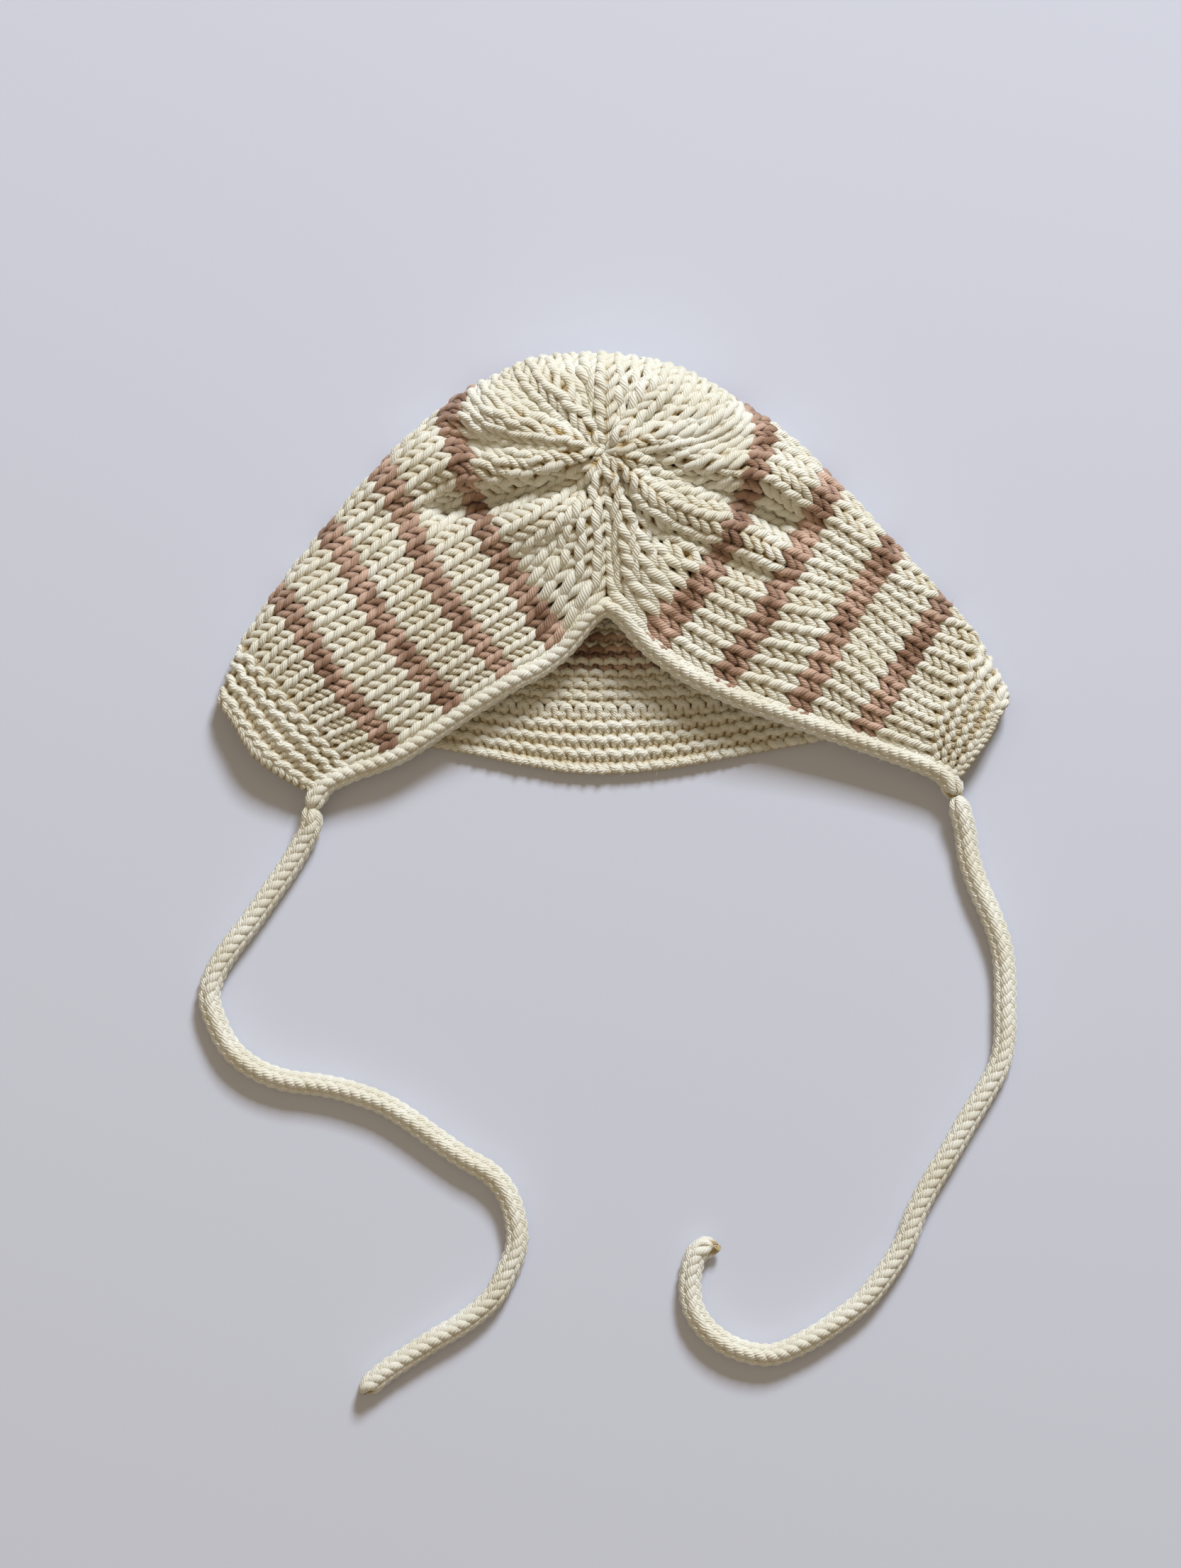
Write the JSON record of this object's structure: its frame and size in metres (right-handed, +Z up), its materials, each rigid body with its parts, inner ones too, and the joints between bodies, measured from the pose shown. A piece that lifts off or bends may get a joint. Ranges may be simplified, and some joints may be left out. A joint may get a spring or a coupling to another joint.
{
  "type": "knitted baby bonnet",
  "caption": "Hand-knitted baby bonnet with striped flaps, gathered crown, garter neck band and two cord ties, laid flat with its face opening up.",
  "frame": {"origin": "bottom centre of the bonnet without its ties, on the surface it lies on", "axes": "+X across the bonnet from fold to fold, +Y from the neck edge towards the crown's fold, +Z up from the surface"},
  "size_m": [0.2565, 0.3272, 0.0295],
  "materials": {
    "cream_wool": "matt hand-knitted wool",
    "striped_wool": "matt hand-knitted wool, cream with rose-beige stripes"
  },
  "bodies": {
    "root": {"crown": "cream_wool", "flap_left": "striped_wool", "back": "striped_wool", "flap_right": "striped_wool", "neck_band": "cream_wool", "face_edging": "cream_wool", "tie_left": "cream_wool", "tie_right": "cream_wool"}
  },
  "joints": []
}
